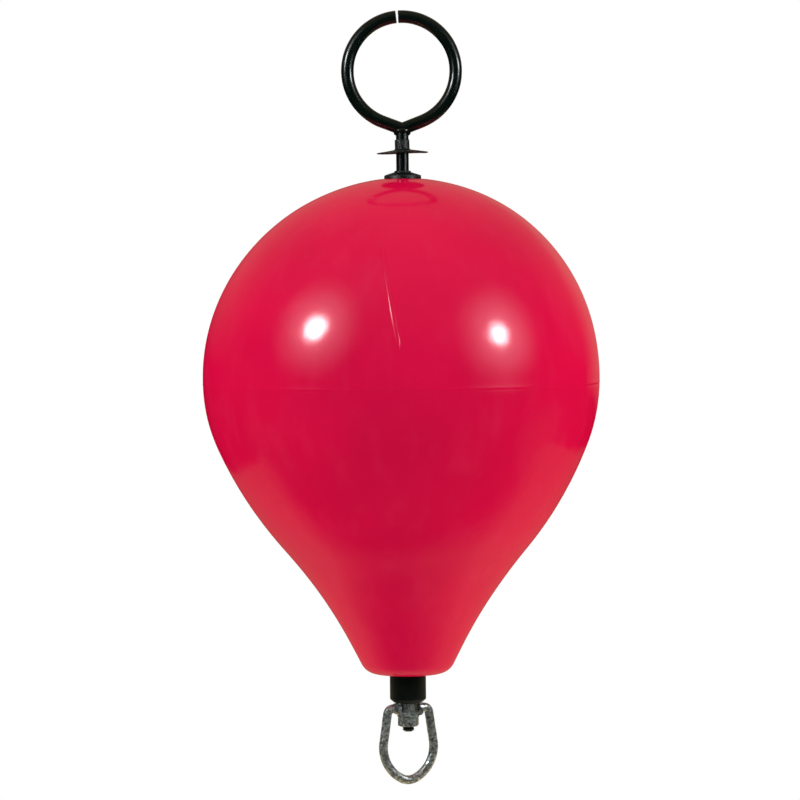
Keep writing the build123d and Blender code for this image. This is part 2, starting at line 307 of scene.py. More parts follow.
def cut_away(piece, tool, operation):
    """Crosses a piece with a tool or cuts the tool out of it, and puts the tool away."""
    apply_modifier(piece, "BOOLEAN", operation=operation, object=tool, solver="EXACT")
    bpy.data.objects.remove(tool)


def uneven(piece, name, size, depth, direction="NORMAL", group=""):
    """Makes a surface as uneven as it came out of the mould or the dip."""
    lumps = bpy.data.textures.new(name, "CLOUDS")
    lumps.noise_scale = size
    lumps.noise_depth = 1
    apply_modifier(
        piece,
        "DISPLACE",
        texture=lumps,
        strength=depth,
        mid_level=0.5,
        direction=direction,
        vertex_group=group,
    )


def dress(piece, finish, body, replaced, smooth_to):
    """Gives a piece its finish, its body and the solid that it stands for."""
    pick(piece)
    bpy.ops.object.shade_smooth_by_angle(angle=radians(smooth_to))
    piece.data.materials.clear()
    piece.data.materials.append(finish)
    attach(piece, body)
    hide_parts(replaced)


# Finishes

def colour(hex_code):
    """A written sRGB colour as the linear one that shaders take."""
    parts = [int(hex_code[i:i + 2], 16) / 255 for i in (1, 3, 5)]
    return tuple(c / 12.92 if c <= 0.04045 else ((c + 0.055) / 1.055) ** 2.4 for c in parts) + (1.0,)


def add_node(tree, kind, settings, links):
    """One node with its settings and what runs into it."""
    node = tree.nodes.new(kind)
    for name, value in settings.items():
        if isinstance(name, int) or name in node.inputs:
            node.inputs[name].default_value = value
        else:
            setattr(node, name, value)
    for name, source in links.items():
        tree.links.new(source, node.inputs[name])
    return node


def new_finish(name):
    """An empty material, and the point of the piece's own space to draw patterns on."""
    finish = bpy.data.materials.new(name)
    finish.use_nodes = True
    tree = finish.node_tree
    tree.nodes.clear()
    place = add_node(tree, "ShaderNodeTexCoord", {}, {}).outputs["Object"]
    return finish, tree, place


def noise(tree, place, size_mm, detail, roughness=0.5):
    """Cloudy noise with features that many millimetres across."""
    settings = {"Scale": 1 / (size_mm * MM), "Detail": detail, "Roughness": roughness}
    return add_node(tree, "ShaderNodeTexNoise", settings, {"Vector": place}).outputs["Fac"]


def stretch(tree, place, scale):
    return add_node(tree, "ShaderNodeMapping", {"Scale": scale}, {"Vector": place}).outputs[0]


def axes_of(tree, place):
    return add_node(tree, "ShaderNodeSeparateXYZ", {}, {0: place}).outputs


def length_of(tree, place):
    return add_node(tree, "ShaderNodeVectorMath", {"operation": "LENGTH"}, {0: place}).outputs["Value"]


def ramp(tree, value, low, high, start=0.0, end=1.0, course="LINEAR"):
    """Goes from start to end while a value goes from low to high."""
    settings = {"interpolation_type": course, "From Min": low, "From Max": high}
    settings.update({"To Min": start, "To Max": end})
    return add_node(tree, "ShaderNodeMapRange", settings, {"Value": value}).outputs[0]


def reckon(tree, operation, *terms):
    """A sum with numbers and with what runs in from other nodes."""
    settings = {"operation": operation}
    links = {}
    for i, term in enumerate(terms):
        (settings if isinstance(term, (int, float)) else links)[i] = term
    return add_node(tree, "ShaderNodeMath", settings, links).outputs[0]


def blend(tree, share, first, second):
    """A share of the second colour in the first, which is written or runs in from another node."""
    settings = {"data_type": "RGBA", 7: colour(second)}
    links = {0: share}
    if isinstance(first, str):
        settings[6] = colour(first)
    else:
        links[6] = first
    return add_node(tree, "ShaderNodeMix", settings, links).outputs[2]


def bump(tree, height, depth, under=None):
    """Fine relief of that depth, over a coarser one if there is any."""
    links = {"Height": height}
    if under is not None:
        links["Normal"] = under
    return add_node(tree, "ShaderNodeBump", {"Strength": 1.0, "Distance": depth}, links).outputs[0]


def give_surface(tree, shader):
    add_node(tree, "ShaderNodeOutputMaterial", {}, {"Surface": shader.outputs[0]})


def moulded_vinyl():
    """Rotation-moulded PVC vinyl, crimson right through, its colour a shade darker below the seam.

    The mould leaves a wet-looking skin over a softer sheen: small sharp lights with a wide glow round them,
    a slight orange peel, and a broad waviness that bends the lights. Handling rubs it paler in streaks.
    """
    finish, tree, place = new_finish("moulded_crimson_vinyl")
    tone = blend(tree, noise(tree, place, 120, 3), "#C5033A", "#DB0842")
    # The colour steps a shade darker below the seam, across the seam's band
    lower = ramp(tree, axes_of(tree, place)["Z"], -SEAM_FOOT, -SEAM_TOP, 0.07, 0.0)
    darker_below_seam = blend(tree, lower, tone, "#A00230")
    streaks = noise(tree, stretch(tree, place, (1, 1, 0.3)), 24, 5, 0.6)
    scuffed = blend(tree, ramp(tree, streaks, 0.5, 0.8, 0.0, 0.13), darker_below_seam, "#DC3A60")
    sheen = ramp(tree, noise(tree, place, 6, 4), 0.3, 0.7, 0.34, 0.46)
    waviness = bump(tree, noise(tree, place, 55, 3), 0.55 * MM)
    skin = bump(tree, noise(tree, place, 3.5, 2), 0.012 * MM, waviness)
    shader = add_node(
        tree,
        "ShaderNodeBsdfPrincipled",
        {
            "IOR": 1.53,
            "Specular IOR Level": 0.0,
            "Coat Weight": 0.5,
            "Coat Roughness": 0.13,
            "Coat IOR": 1.65,
        },
        {"Base Color": scuffed, "Roughness": sheen, "Normal": skin, "Coat Normal": skin},
    )
    give_surface(tree, shader)
    return finish


def black_finish(name, pattern, tones, roughness, relief, ior, specular):
    """A black dielectric: two near tones and a roughness that follow one pattern, and a relief."""
    finish, tree, place = new_finish(name)
    spread = noise(tree, place, *pattern)
    shader = add_node(
        tree,
        "ShaderNodeBsdfPrincipled",
        {"IOR": ior, "Specular IOR Level": specular},
        {
            "Base Color": blend(tree, spread, *tones),
            "Roughness": ramp(tree, spread, *roughness),
            "Normal": relief(tree, place),
        },
    )
    give_surface(tree, shader)
    return finish


def dipped_coat():
    """Black PVC dip coat on steel bar: thick, glossy, slightly lumpy, so its lights run in broken lines."""
    return black_finish(
        "black_dipped_pvc", (22, 5, 0.65), ("#020A07", "#07130F"), (0.3, 0.75, 0.12, 0.24),
        lambda tree, place: bump(tree, noise(tree, place, 13, 1), 0.2 * MM), 1.53, 0.35,
    )


def moulded_rubber():
    """Black moulded rubber: a dull sheen with a faint grey bloom and a fine grain from the mould."""
    return black_finish(
        "black_moulded_rubber", (14, 5, 0.6), ("#050A08", "#161D1B"), (0.3, 0.7, 0.42, 0.62),
        lambda tree, place: bump(tree, noise(tree, place, 0.9, 2), 0.05 * MM), 1.52, 0.3,
    )


def die_lines(tree, place):
    lines = noise(tree, stretch(tree, place, (1, 1, 0.03)), 2.2, 3)
    return bump(tree, lines, 0.06 * MM)


def extruded_polyethylene():
    """Black polyethylene tube: satin, with faint lines along it from the die and scuffs across them."""
    return black_finish(
        "black_extruded_polyethylene", (8, 6, 0.7), ("#020806", "#08130E"), (0.3, 0.7, 0.3, 0.48),
        die_lines, 1.51, 0.2,
    )


def hot_dip_zinc():
    """Hot-dip galvanised steel: grey zinc in small crystals of different brightness, dull where weathered."""
    finish, tree, place = new_finish("hot_dip_galvanised_steel")
    crystals = add_node(tree, "ShaderNodeTexVoronoi", {"Scale": 1 / (2.4 * MM)}, {"Vector": place})
    shade = add_node(tree, "ShaderNodeSeparateColor", {}, {"Color": crystals.outputs["Color"]})
    spangle = blend(tree, shade.outputs[0], "#707A75", "#DCE2DE")
    weather = noise(tree, place, 3.2, 5, 0.72)
    tone = blend(tree, ramp(tree, weather, 0.43, 0.6, 0.0, 0.88), spangle, "#2E3431")
    shader = add_node(
        tree,
        "ShaderNodeBsdfPrincipled",
        {},
        {
            "Base Color": tone,
            "Metallic": ramp(tree, weather, 0.4, 0.62, 0.95, 0.4),
            "Roughness": ramp(tree, weather, 0.3, 0.7, 0.24, 0.5),
            "Normal": bump(tree, noise(tree, place, 2.6, 3), 0.3 * MM),
        },
    )
    give_surface(tree, shader)
    return finish


# Float

def waist_of_float(start, start_heading, end, end_heading):
    """Where the shoulder's arc meets the flare's, and the heading there."""
    leave = Vector(on_circle((0, 0), 1, start_heading))
    reach = Vector(on_circle((0, 0), 1, end_heading))
    apart = Vector(end) - Vector(start)
    along = apart.dot(leave + reach)
    spread = 1 - leave.dot(reach)
    arm = apart.dot(apart) / (along + sqrt(along ** 2 + 2 * spread * apart.dot(apart)))
    middle = (Vector(start) + Vector(end) + (leave - reach) * arm) / 2
    heading = apart - (leave + reach) * arm
    return tuple(middle), degrees(atan2(heading.y, heading.x))


def tangent_arc(start, heading, end, steps):
    """Points on the arc that leaves a point on a heading and reaches another."""
    across = Vector(on_circle((0, 0), 1, heading + 90))
    apart = Vector(end) - Vector(start)
    radius = apart.dot(apart) / (2 * apart.dot(across))
    centre = Vector(start) + across * radius
    turn = 2 * degrees(asin(apart.dot(across) / apart.length))
    first = heading - 90
    return [on_circle(centre, radius, first + turn * i / steps) for i in range(steps + 1)]


def float_outline():
    """The float's skin from its foot up the flare, shoulder and dome to its crown, and back down the bore."""
    neck_foot = on_circle(FOOT_CENTRE, FOOT_ROUND, -NECK_ANGLE)
    neck = on_circle(neck_foot, NECK_LENGTH, 90 - NECK_ANGLE)
    dome_end = on_circle(LOWER_DOME_CENTRE, LOWER_DOME_RADIUS, -DOME_END_ANGLE)
    waist, waist_heading = waist_of_float(dome_end, -90 - DOME_END_ANGLE, neck, -90 - NECK_ANGLE)
    seam = []
    for drop, proud in SEAM_SHAPE:
        angle = degrees(asin(drop * MM / LOWER_DOME_RADIUS))
        seam.append(on_circle(LOWER_DOME_CENTRE, LOWER_DOME_RADIUS + proud * MM, -angle))
    belt = (0, BELT_HEIGHT)
    crown_join = on_circle(belt, FLOAT_RADIUS, 90 - CROWN_ANGLE)
    crown_turn = sin(radians(CROWN_ANGLE)) - sin(radians(CROWN_SEAT_ANGLE))
    crown_radius = (crown_join[0] - CROWN_SEAT_RADIUS) / crown_turn
    crown_centre = on_circle(crown_join, crown_radius, -90 - CROWN_ANGLE)
    outline = line((FLOAT_BORE, -FLOAT_DEPTH), (FOOT_CENTRE[0], -FLOAT_DEPTH), 3)[:-1]
    outline += arc(FOOT_CENTRE, FOOT_ROUND, -90, -NECK_ANGLE, 10)[:-1]
    outline += line(neck_foot, neck, 5)[:-1]
    outline += tangent_arc(neck, 90 - NECK_ANGLE, waist, 24)[:-1]
    outline += tangent_arc(waist, waist_heading + 180, dome_end, 24)[:-1]
    seam_end = degrees(asin(SEAM_FOOT / LOWER_DOME_RADIUS))
    outline += arc(LOWER_DOME_CENTRE, LOWER_DOME_RADIUS, -DOME_END_ANGLE, -seam_end, 24)[:-1]
    outline += seam[::-1]
    outline += arc(belt, FLOAT_RADIUS, 0, 90 - CROWN_ANGLE, 56)[:-1]
    outline += arc(crown_centre, crown_radius, 90 - CROWN_ANGLE, 90 - CROWN_SEAT_ANGLE, 12)[:-1]
    outline += line((CROWN_SEAT_RADIUS, CROWN_HEIGHT), (FLOAT_BORE, CROWN_HEIGHT), 3)
    return outline


def on_dome(across, up):
    """The point of the dome's front at that place, seen from the front and counted from the dome's middle."""
    return Vector((across, -sqrt(FLOAT_RADIUS ** 2 - across ** 2 - up ** 2), up))


def dome_crease():
    """A low ridge down the dome's front, where the skin creased in the mould: a flat lens run along it."""
    top = on_dome(*CREASE_TOP)
    foot = on_dome(*CREASE_FOOT)
    belt = Vector((0, 0, BELT_HEIGHT))
    axis = top.cross(foot).normalized()
    out = top.normalized()
    across = Matrix((axis, out, axis.cross(out))).transposed()
    bpy.ops.object.select_all(action="DESELECT")
    turn = across.to_euler()
    bpy.ops.mesh.primitive_circle_add(vertices=24, radius=0.5, location=top + belt, rotation=turn)
    crease = bpy.context.object
    crease.name = "dome_crease"
    crease.scale = (CREASE_WIDTH, CREASE_HEIGHT, 1)
    bpy.ops.object.transform_apply()
    bpy.ops.object.mode_set(mode="EDIT")
    bpy.ops.mesh.select_all(action="SELECT")
    bpy.ops.mesh.spin(steps=60, angle=top.angle(foot), center=belt, axis=-axis)
    for end in (top, foot):
        select_points(crease, lambda spot: (spot - end - belt).length < CREASE_WIDTH * 0.51)
        bpy.ops.transform.resize(
            value=(0.02, 0.02, 0.02),
            center_override=end + belt,
            use_proportional_edit=True,
            proportional_edit_falloff="SHARP",
            proportional_size=CREASE_TAPER,
        )
    close_skin()
    bpy.ops.object.mode_set(mode="OBJECT")
    return crease


def on_belly(spot):
    return abs(spot.z) < BELLY_BAND and spot.xy.length > FLOAT_RADIUS * 0.9


def on_seam(spot):
    in_band = -SEAM_FOOT - SEAM_MARGIN < spot.z < -SEAM_TOP + SEAM_MARGIN
    return in_band and spot.xy.length > FLOAT_RADIUS * 0.85


def float_skin(finish):
    """The inflated float: spun, blown a little to one side, with a wandering seam and an uneven skin."""
    skin = turn_piece("float_skin", float_outline(), 240)
    seam = skin.vertex_groups.new(name="seam")
    seam.add([vertex.index for vertex in skin.data.vertices if on_seam(vertex.co)], 1.0, "REPLACE")
    uneven(skin, "seam_wander", 70 * MM, 1.6 * MM, "Z", "seam")
    join_pieces(skin, dome_crease())
    bpy.ops.object.mode_set(mode="EDIT")
    push_points(skin, on_belly, (BELLY_LEAN, 0, 0), BELLY_REACH)
    bpy.ops.object.mode_set(mode="OBJECT")
    uneven(skin, "moulding_waves", 110 * MM, 0.8 * MM)
    dress(skin, finish, "float", "float_shell", 40)


# Rod, ring and weld

def ring_arm(ring, side):
    """Half the ring, from the throat's middle, where it is mitred, round to its rounded end at the gap."""
    heading = RING_THROAT_ANGLE if side > 0 else 180 - RING_THROAT_ANGLE
    behind = BAR_RADIUS * tan(radians(RING_THROAT_ANGLE)) + 1 * MM
    place = on_circle((0, THROAT_HEIGHT), -behind, heading)
    bar_circle(BAR_RADIUS, place, heading, 40)
    place = bar_run(place, heading, behind + RING_RADIUS * tan(radians(RING_THROAT_ANGLE)), 12)
    bpy.ops.mesh.select_all(action="SELECT")
    bpy.ops.mesh.bisect(plane_co=(0, 0, 0), plane_no=(side, 0, 0), clear_inner=True, threshold=0.001 * MM)
    arm_end = Vector((place[0], 0, place[1]))
    select_points(ring, lambda spot: (spot - arm_end).length < BAR_RADIUS * 1.001)
    short = degrees((RING_GAP / 2 + END_ROUND) / RING_RADIUS)
    angle = 180 - RING_THROAT_ANGLE + side * RING_GAP_TURN - short
    place, heading = bar_bend(place, heading, RING_RADIUS, side * angle, 72)
    round_end(place, heading, BAR_RADIUS, END_ROUND)


def dipped_ring(finish):
    """The split ring: two arms of bar that meet in a V over the rod, under one thick coat."""
    ring = start_piece("dipped_ring")
    bpy.ops.mesh.delete(type="VERT")
    for side in (1, -1):
        ring_arm(ring, side)
        bpy.ops.mesh.select_all(action="SELECT")
        bpy.ops.mesh.hide(unselected=False)
    bpy.ops.mesh.reveal()
    close_skin()
    bpy.ops.object.mode_set(mode="OBJECT")
    uneven(ring, "coat_lumps", 26 * MM, 0.35 * MM)
    dress(ring, finish, "rod", "top_ring", 50)


def dipped_rod(finish):
    """The rod: coated bar above, and below its collar a bare thread that took the same black."""
    core = THREAD_RADIUS - THREAD_DEPTH
    tip = 1.2 * MM
    thread_top = ROD_FOOT + THREAD_LENGTH
    top = THROAT_HEIGHT - 1 * MM
    outline = [(0, ROD_FOOT), (core - tip, ROD_FOOT), (core, ROD_FOOT + tip)]
    outline += [(core, thread_top), (THREAD_RADIUS, thread_top + 1 * MM), (THREAD_RADIUS, COAT_END)]
    outline += line((BAR_RADIUS, COAT_END), (BAR_RADIUS, top), 60) + [(0, top)]
    rod = turn_piece("dipped_rod", outline, 48)
    thread = start_piece("rod_thread")
    flank = [(core, 0), (THREAD_RADIUS, 0.4), (THREAD_RADIUS, 0.6), (core, 1)]
    draw_outline([(radius, ROD_FOOT + share * THREAD_PITCH) for radius, share in flank])
    bpy.ops.object.mode_set(mode="OBJECT")
    turns = round(THREAD_LENGTH / THREAD_PITCH)
    apply_modifier(
        thread,
        "SCREW",
        angle=2 * pi,
        screw_offset=THREAD_PITCH,
        iterations=turns,
        steps=48,
        render_steps=48,
        use_merge_vertices=False,
    )
    bpy.ops.object.mode_set(mode="EDIT")
    close_skin()
    bpy.ops.mesh.select_all(action="SELECT")
    bpy.ops.mesh.bisect(plane_co=(0, 0, ROD_FOOT + 0.6 * MM), plane_no=(0, 0, 1), clear_inner=True)
    bpy.ops.mesh.select_all(action="SELECT")
    bpy.ops.mesh.bisect(plane_co=(0, 0, thread_top), plane_no=(0, 0, 1), clear_outer=True)
    bpy.ops.object.mode_set(mode="OBJECT")
    join_pieces(rod, thread)
    dress(rod, finish, "rod", "rod", 40)


def weld_bead(finish):
    """The bead where ring meets rod: weld pushed up front and back into the V, rippled under the coat."""
    throat = radians(RING_THROAT_ANGLE)
    low = THROAT_HEIGHT + BAR_RADIUS * tan(throat) - BAR_RADIUS / cos(throat)
    bpy.ops.object.select_all(action="DESELECT")
    bpy.ops.mesh.primitive_torus_add(
        location=(0, 0, 0),
        major_radius=BAR_RADIUS - 0.6 * MM,
        minor_radius=WELD_RADIUS,
        major_segments=72,
        minor_segments=20,
    )
    bead = bpy.context.object
    bead.name = "weld_bead"
    bpy.ops.object.mode_set(mode="EDIT")
    bpy.ops.mesh.select_all(action="SELECT")
    bpy.ops.transform.translate(value=(0, 0, low))
    rise = THROAT_HEIGHT - low - 2 * MM
    for front in (-1, 1):
        push_points(bead, lambda spot: spot.y * front > BAR_RADIUS * 0.85, (0, 0, rise), 8 * MM)
    bpy.ops.object.mode_set(mode="OBJECT")
    uneven(bead, "weld_ripples", 3 * MM, 1.0 * MM)
    dress(bead, finish, "rod", "ring_weld", 60)


# Rubber pieces

def rubber_disc(finish):
    """The thin disc that grips the rod: a hub with a rounded mouth, and a blade that thins to a soft rim."""
    grip = BAR_RADIUS + 0.02 * MM
    foot = DISC_FOOT
    outline = line((grip, foot + 1.9 * MM), (DISC_RADIUS - 0.5 * MM, foot), 14)
    for inwards, up in ((0.1, 0.15), (0, 0.45), (0.2, 0.8)):
        outline.append((DISC_RADIUS - inwards * MM, foot + up * MM))
    fillet = 2.2 * MM
    blade_top = (DISC_HUB_RADIUS + fillet, foot + 3.9 * MM)
    outline += line((DISC_RADIUS - 0.7 * MM, foot + 1.0 * MM), blade_top, 12)
    outline += arc((DISC_HUB_RADIUS + fillet, foot + 6.1 * MM), fillet, -100, -180, 6)
    outline += arc((DISC_HUB_RADIUS - 0.7 * MM, DISC_HUB_TOP - 0.7 * MM), 0.7 * MM, 0, 90, 5)
    outline += [(grip, DISC_HUB_TOP)]
    disc = turn_piece("rubber_disc", outline, 96)
    blade = disc.vertex_groups.new(name="blade")
    for vertex in disc.data.vertices:
        reach = (vertex.co.xy.length - DISC_HUB_RADIUS) / (DISC_RADIUS - DISC_HUB_RADIUS)
        blade.add([vertex.index], max(0.0, reach), "REPLACE")
    bpy.ops.object.mode_set(mode="EDIT")
    bpy.ops.mesh.select_all(action="SELECT")
    bpy.ops.transform.rotate(value=radians(DISC_TILT), orient_axis="Y", center_override=(0, 0, foot + 3 * MM))
    bpy.ops.object.mode_set(mode="OBJECT")
    uneven(disc, "blade_droop", 34 * MM, 1.6 * MM, "Z", "blade")
    dress(disc, finish, "rod", "stop_disc", 50)


def crown_grommet(finish):
    """The rubber cone on the crown: a flange with soft edges, and pleats up the cone round the rod."""
    grip = BAR_RADIUS + 0.3 * MM
    crown = CROWN_HEIGHT
    flange = GROMMET_FLANGE_RADIUS
    outline = [(grip, GROMMET_FOOT), (SPIGOT_RADIUS, GROMMET_FOOT), (SPIGOT_RADIUS, crown + 0.05 * MM)]
    outline += [(flange - 0.4 * MM, crown + 0.05 * MM), (flange, crown + 0.4 * MM)]
    outline += [(flange - 0.2 * MM, crown + GROMMET_FLANGE_EDGE)]
    outline += arc((flange - 1.1 * MM, crown + GROMMET_FLANGE_EDGE), 0.9 * MM, 10, 80, 4)
    cone_foot = Vector((flange - 3.0 * MM, crown + GROMMET_FLANGE_EDGE + 1.0 * MM))
    cone_top = Vector((grip + 4.2 * MM, GROMMET_TOP - 3.0 * MM))
    outline += line(tuple(cone_foot), tuple(cone_top), 5)
    outline += line((grip + 2.4 * MM, GROMMET_TOP - 2.4 * MM), (grip + 1.9 * MM, GROMMET_TOP - 0.6 * MM), 2)
    outline += arc((grip + 1.3 * MM, GROMMET_TOP - 0.8 * MM), 0.8 * MM, 40, 90, 4)
    outline += [(grip, GROMMET_TOP)]
    cone = turn_piece("crown_grommet", outline, 72)
    bpy.ops.object.select_all(action="DESELECT")
    along = cone_foot - cone_top
    middle = (cone_foot + cone_top) / 2
    bpy.ops.mesh.primitive_cube_add(
        size=1,
        location=(middle.x, 0, middle.y),
        rotation=(0, -atan2(along.y, along.x), 0),
        scale=(along.length + 4 * MM, 1.5 * MM, 1.4 * MM),
    )
    pleat = bpy.context.object
    bpy.ops.object.transform_apply()
    apply_modifier(pleat, "BEVEL", width=0.5 * MM, segments=3, limit_method="NONE")
    bpy.ops.object.mode_set(mode="EDIT")
    bpy.ops.mesh.select_all(action="SELECT")
    bpy.ops.mesh.spin(steps=PLEATS, dupli=True, angle=2 * pi, center=(0, 0, 0), axis=(0, 0, 1))
    close_skin()
    bpy.ops.object.mode_set(mode="OBJECT")
    join_pieces(cone, pleat)
    dress(cone, finish, "float", "top_grommet", 45)


# Swivel

def hex_nut(finish):
    """The hexagon nut: a hexagon crossed with a turned blank, so its corners are rounded at both faces."""
    corner = NUT_FLAT / cos(radians(30))
    middle = (NUT_FOOT + NUT_TOP) / 2
    bpy.ops.object.select_all(action="DESELECT")
    bpy.ops.mesh.primitive_cylinder_add(
        vertices=6,
        radius=corner,
        depth=NUT_TOP - NUT_FOOT,
        location=(0, 0, middle),
        rotation=(0, 0, radians(NUT_TURN - 30)),
    )
    hexagon = bpy.context.object
    hexagon.name = "hex_nut"
    bpy.ops.object.transform_apply()
    face = NUT_FLAT * 0.97
    drop = (corner - face) * tan(radians(30))
    hole = THREAD_HOLE
    beyond = 0.1 * MM
    outline = [(hole, NUT_FOOT - beyond), (face, NUT_FOOT - beyond), (face, NUT_FOOT)]
    outline += [(corner * 1.01, NUT_FOOT + drop), (corner * 1.01, NUT_TOP - drop)]
    outline += [(face, NUT_TOP), (face, NUT_TOP + beyond), (hole, NUT_TOP + beyond)]
    blank = turn_piece("nut_blank", outline, 72)
    cut_away(hexagon, blank, "INTERSECT")
    break_edges(hexagon, 0.35 * MM, 25)
    dress(hexagon, finish, "rod", "nut", 40)


def turned_ring(name, outer, inner, top, foot, edge, finish, body, replaced):
    """A plain turned ring with its edges broken."""
    ring = turn_piece(name, [(inner, foot), (outer, foot), (outer, top), (inner, top)], 72)
    break_edges(ring, edge, 30)
    dress(ring, finish, body, replaced, 40)


def nose_bush(finish):
    """The bush in the tube's foot: a spigot inside the tube and a short tapered nose under it."""
    spigot = TUBE_BORE - 0.1 * MM
    outline = [(ROD_BORE, NOSE_FOOT), (NOSE_RADIUS, NOSE_FOOT), (TUBE_RADIUS, TUBE_FOOT), (spigot, TUBE_FOOT)]
    outline += [(spigot, BUSH_TOP), (ROD_BORE, BUSH_TOP)]
    bush = turn_piece("nose_bush", outline, 72)
    break_edges(bush, 0.7 * MM, 30)
    dress(bush, finish, "float", "end_bush", 40)


def zinc_yoke(finish):
    """The strap bent to a U: drawn on edge, pushed out to its depth, its ears rounded, its holes drilled."""
    outer = YOKE_HALF_OUTSIDE
    inner = YOKE_HALF_INSIDE
    half = [(0, YOKE_FOOT)]
    half += arc((outer - YOKE_OUTER_BEND, YOKE_FOOT + YOKE_OUTER_BEND), YOKE_OUTER_BEND, -90, 0, 8)
    half += [(outer, YOKE_TOP), (inner, YOKE_TOP)]
    half += arc((inner - YOKE_BEND, PLATE_TOP + YOKE_BEND), YOKE_BEND, 0, -90, 6)
    half += [(0, PLATE_TOP)]
    other_half = [(-x, z) for x, z in half[1:-1]][::-1]
    yoke = start_piece("zinc_yoke")
    draw_outline(half + other_half + half[:1])
    bpy.ops.mesh.select_all(action="SELECT")
    bpy.ops.mesh.remove_doubles(threshold=MERGE_WITHIN)
    bpy.ops.mesh.select_all(action="SELECT")
    bpy.ops.mesh.edge_face_add()
    bpy.ops.transform.translate(value=(0, -YOKE_DEPTH / 2, 0))
    bpy.ops.mesh.extrude_region_move(TRANSFORM_OT_translate={"value": (0, YOKE_DEPTH, 0)})
    close_skin()
    bpy.ops.object.mode_set(mode="OBJECT")
    height = YOKE_TOP - YOKE_FOOT
    bpy.ops.object.select_all(action="DESELECT")
    bpy.ops.mesh.primitive_cube_add(
        size=1,
        location=(0, 0, YOKE_TOP - height),
        scale=(4 * outer, YOKE_DEPTH + 0.01 * MM, 2 * height + 0.01 * MM),
    )
    blank = bpy.context.object
    bpy.ops.object.transform_apply()
    bpy.ops.object.mode_set(mode="EDIT")
    bpy.ops.mesh.select_all(action="DESELECT")
    bpy.ops.mesh.select_mode(type="EDGE")
    bpy.ops.object.mode_set(mode="OBJECT")
    for edge in blank.data.edges:
        ends = [blank.data.vertices[i].co for i in edge.vertices]
        edge.select = abs(ends[0].x - ends[1].x) > outer and ends[0].z > YOKE_TOP - EAR_ROUND
    bpy.ops.object.mode_set(mode="EDIT")
    bpy.ops.mesh.bevel(offset=EAR_ROUND, segments=8)
    bpy.ops.mesh.select_mode(type="VERT")
    bpy.ops.object.mode_set(mode="OBJECT")
    cut_away(yoke, blank, "INTERSECT")
    bpy.ops.object.select_all(action="DESELECT")
    bpy.ops.mesh.primitive_cylinder_add(
        vertices=40,
        radius=YOKE_PIN_HOLE,
        depth=4 * outer,
        location=(0, 0, PIN_HEIGHT),
        rotation=(0, pi / 2, 0),
    )
    cut_away(yoke, bpy.context.object, "DIFFERENCE")
    bpy.ops.mesh.primitive_cylinder_add(
        vertices=56, radius=YOKE_ROD_HOLE, depth=10 * MM, location=(0, 0, PLATE_TOP)
    )
    cut_away(yoke, bpy.context.object, "DIFFERENCE")
    break_edges(yoke, 0.5 * MM, 40)
    yoke.rotation_euler.z = radians(SWIVEL_TURN)
    bpy.ops.object.transform_apply()
    dress(yoke, finish, "yoke", "yoke", 40)


def zinc_bail(finish):
    """The bail: one bar bent to a bow with a narrow tip, its limbs closing in and its ends turned to pins."""
    tip_depth = BOW_DEPTH - BOW_TIP_RADIUS
    across = 2 * (BOW_HALF_WIDTH - BOW_TIP_RADIUS)
    side_radius = (BOW_HALF_WIDTH ** 2 + tip_depth ** 2 - BOW_TIP_RADIUS ** 2) / across
    side_centre = (BOW_HALF_WIDTH - side_radius, BOW_FOOT + BOW_DEPTH)
    bend_centre = (BAIL_SHOULDER + BAIL_END_STRAIGHT, PIN_HEIGHT - BAIL_BEND_RADIUS)
    apart = Vector(side_centre) - Vector(bend_centre)
    lean = asin((side_radius - BAIL_BEND_RADIUS) / apart.length) - asin(-apart.x / apart.length)
    lean = degrees(lean)
    limb_foot = Vector(on_circle(side_centre, side_radius, lean))
    limb = (limb_foot - Vector(on_circle(bend_centre, BAIL_BEND_RADIUS, lean))).length
    tip = degrees(atan2(-tip_depth, -side_centre[0]))
    pin = BAIL_SHOULDER - BAIL_PIN_END
    shoulder = 0.6 * MM
    blunt = 0.4 * MM
    swell = BAIL_BAR_RADIUS / BAIL_PIN_RADIUS
    bail = start_piece("zinc_bail")
    bpy.ops.mesh.delete(type="VERT")
    place = (BAIL_PIN_END, PIN_HEIGHT)
    bar_circle(BAIL_PIN_RADIUS * 0.9, place, 0, 32)
    bpy.ops.mesh.edge_face_add()
    place = bar_run(place, 0, blunt, 1, 1 / 0.9)
    place = bar_run(place, 0, pin - blunt, 3)
    place = bar_run(place, 0, shoulder, 2, swell)
    place = bar_run(place, 0, BAIL_END_STRAIGHT - shoulder, 1)
    place, heading = bar_bend(place, 0, BAIL_BEND_RADIUS, lean - 90, 14)
    place = bar_run(place, heading, limb, 18)
    place, heading = bar_bend(place, heading, side_radius, tip - lean, 32)
    place, heading = bar_bend(place, heading, BOW_TIP_RADIUS, -180 - 2 * tip, 16)
    place, heading = bar_bend(place, heading, side_radius, tip - lean, 32)
    place = bar_run(place, heading, limb, 18)
    place, heading = bar_bend(place, heading, BAIL_BEND_RADIUS, lean - 90, 14)
    place = bar_run(place, heading, BAIL_END_STRAIGHT - shoulder, 1)
    place = bar_run(place, heading, shoulder, 2, 1 / swell)
    place = bar_run(place, heading, pin - blunt, 3)
    bar_run(place, heading, blunt, 1, 0.9)
    bpy.ops.mesh.edge_face_add()
    close_skin()
    bpy.ops.object.mode_set(mode="OBJECT")
    bail.rotation_euler.z = radians(SWIVEL_TURN)
    bpy.ops.object.transform_apply()
    uneven(bail, "zinc_lumps", 7 * MM, 0.5 * MM)
    dress(bail, finish, "bail", "bail", 50)


vinyl = moulded_vinyl()
coat = dipped_coat()
rubber = moulded_rubber()
polyethylene = extruded_polyethylene()
zinc = hot_dip_zinc()

